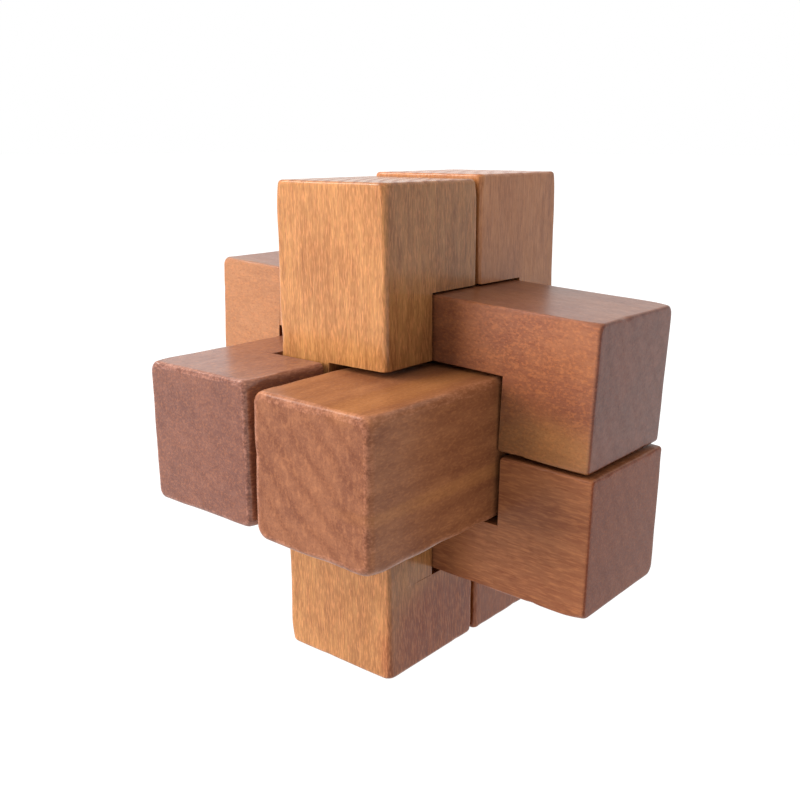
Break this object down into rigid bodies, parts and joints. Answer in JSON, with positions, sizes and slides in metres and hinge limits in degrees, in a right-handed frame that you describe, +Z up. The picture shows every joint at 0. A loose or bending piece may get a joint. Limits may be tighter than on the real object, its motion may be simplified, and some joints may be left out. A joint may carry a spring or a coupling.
{
  "type": "wooden burr puzzle",
  "caption": "Interlocking wooden burr puzzle of notched square sticks that cross at right angles, locked by a plain key stick that slides out endways.",
  "frame": {"origin": "on the surface the puzzle stands on, below the middle of the crossing", "axes": "+Z up along the upright sticks, +X to the right along the crossbars, +Y to the back along the left bar and the key"},
  "size_m": [0.0708, 0.0707, 0.0706],
  "materials": {
    "golden_wood": "satin lacquer",
    "rosy_wood": "satin lacquer",
    "orange_wood": "satin lacquer",
    "brown_wood": "satin lacquer",
    "mauve_wood": "satin lacquer",
    "banded_wood": "satin lacquer"
  },
  "bodies": {
    "front_upright": {"front_upright": "golden_wood"},
    "rear_upright": {"rear_upright": "rosy_wood"},
    "upper_crossbar": {"upper_crossbar": "orange_wood"},
    "lower_crossbar": {"lower_crossbar": "brown_wood"},
    "left_bar": {"left_bar": "mauve_wood"},
    "key_bar": {"key_bar": "banded_wood"}
  },
  "joints": [
    {"name": "key_slide", "type": "slide", "parent": "front_upright", "child": "key_bar", "axis": [0, -1, 0], "range_m": [-0.058, 0.058]},
    {"name": "rear_upright_play", "type": "slide", "parent": "front_upright", "child": "rear_upright", "axis": [0, 0, 1], "range_m": [0, 0.00025]},
    {"name": "upper_crossbar_play", "type": "slide", "parent": "front_upright", "child": "upper_crossbar", "axis": [0.9988, 0, -0.0488], "range_m": [-0.00025, 0.00025]},
    {"name": "lower_crossbar_play", "type": "slide", "parent": "front_upright", "child": "lower_crossbar", "axis": [0.9997, 0, -0.0262], "range_m": [-0.00025, 0.00025]},
    {"name": "left_bar_play", "type": "slide", "parent": "front_upright", "child": "left_bar", "axis": [0.014, 0.9999, 0], "range_m": [-0.00025, 0.00025]}
  ]
}
